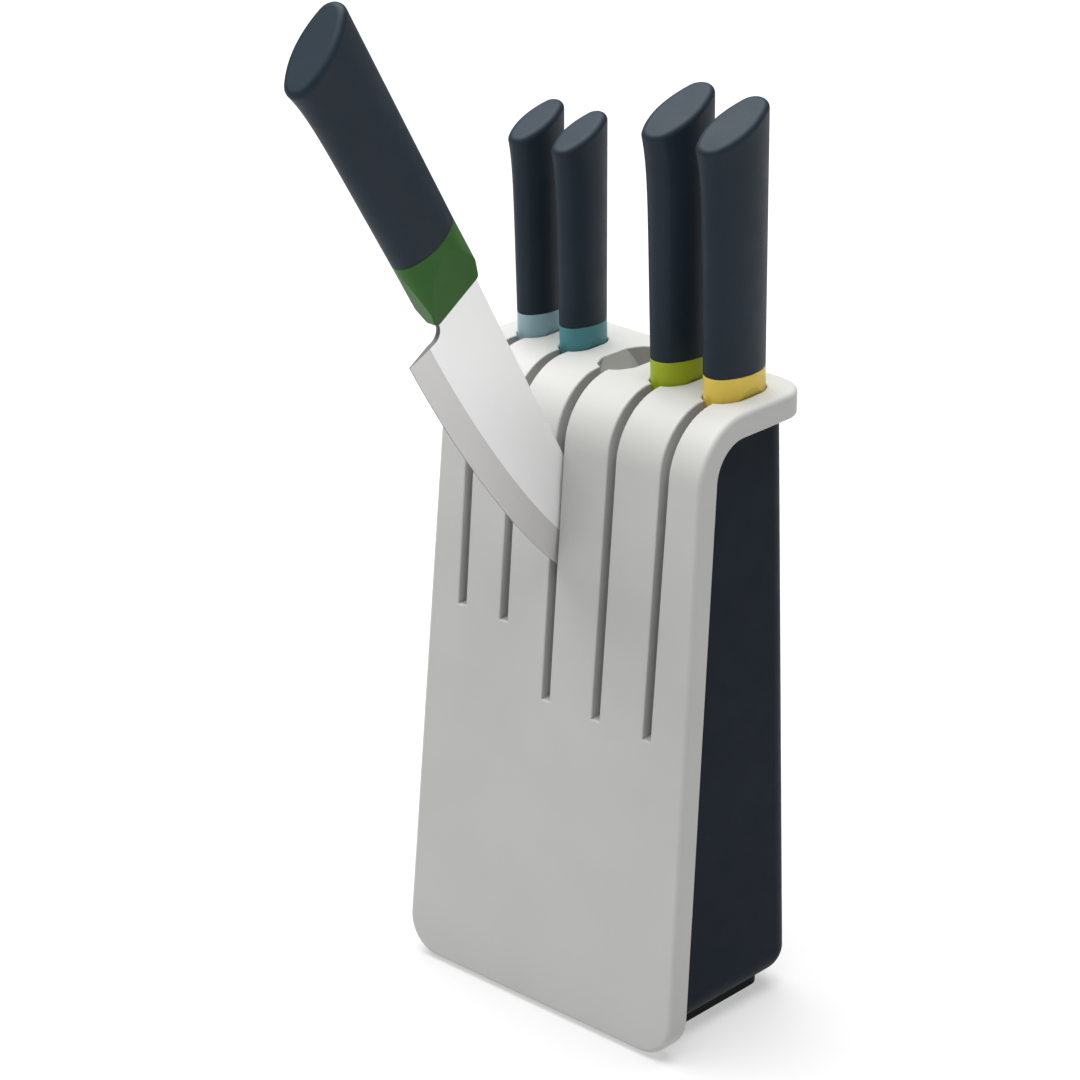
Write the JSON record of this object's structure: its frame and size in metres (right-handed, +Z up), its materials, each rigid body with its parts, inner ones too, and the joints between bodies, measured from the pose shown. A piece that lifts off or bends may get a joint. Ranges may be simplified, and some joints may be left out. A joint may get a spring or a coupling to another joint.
{
  "type": "knife block with knives",
  "caption": "Slim upright block with a slotted pale front panel, dark rear housing and dark-handled knives with coloured collars, one leaning out.",
  "frame": {"origin": "centre of the underside of the rubber foot mat, on the worktop", "axes": "+Z up, -Y out of the slotted front face, +X to the right when facing the front"},
  "size_m": [0.1378, 0.2162, 0.428],
  "materials": {
    "panel_plastic": "satin",
    "housing_plastic": "satin",
    "foot_plastic": "matte",
    "foot_rubber": "matte",
    "screw_steel": "satin",
    "blade_steel": "polished",
    "grip_soft": "soft matte",
    "weight_steel": "plain",
    "collar_pale_teal": "satin",
    "collar_teal": "satin",
    "collar_green": "satin",
    "collar_lime": "satin",
    "collar_yellow": "satin"
  },
  "bodies": {
    "block": {"front_panel": "panel_plastic", "pocket_rack": "panel_plastic", "rack_screws": "screw_steel", "rear_housing": "housing_plastic", "foot_plinth": "foot_plastic", "foot_mat": "foot_rubber", "base_screws": "screw_steel", "divider_1": "housing_plastic", "divider_2": "housing_plastic", "divider_3": "housing_plastic", "divider_4": "housing_plastic"},
    "paring_knife": {"paring_blade": "blade_steel", "paring_collar": "collar_pale_teal", "paring_grip": "grip_soft", "paring_weight": "weight_steel"},
    "utility_knife": {"utility_blade": "blade_steel", "utility_collar": "collar_teal", "utility_grip": "grip_soft", "utility_weight": "weight_steel"},
    "chefs_knife": {"chef_blade": "blade_steel", "chef_collar": "collar_green", "chef_grip": "grip_soft", "chef_weight": "weight_steel"},
    "santoku_knife": {"santoku_blade": "blade_steel", "santoku_collar": "collar_lime", "santoku_grip": "grip_soft", "santoku_weight": "weight_steel"},
    "bread_knife": {"bread_blade": "blade_steel", "bread_collar": "collar_yellow", "bread_grip": "grip_soft", "bread_weight": "weight_steel"}
  },
  "joints": [
    {"name": "draw_paring_knife", "type": "slide", "parent": "block", "child": "paring_knife", "axis": [0, -0.0645, 0.9979], "range_m": [0, 0.135]},
    {"name": "draw_utility_knife", "type": "slide", "parent": "block", "child": "utility_knife", "axis": [0, -0.0645, 0.9979], "range_m": [0, 0.16]},
    {"name": "draw_santoku_knife", "type": "slide", "parent": "block", "child": "santoku_knife", "axis": [0, -0.0645, 0.9979], "range_m": [0, 0.185]},
    {"name": "draw_bread_knife", "type": "slide", "parent": "block", "child": "bread_knife", "axis": [0, -0.0645, 0.9979], "range_m": [0, 0.245]},
    {"name": "tilt_chefs_knife", "type": "hinge", "parent": "block", "child": "chefs_knife", "pos_m": [-0.0038, 0.0061, 0.1671], "axis": [1, 0, 0], "range_deg": [-28.3, 8]}
  ]
}
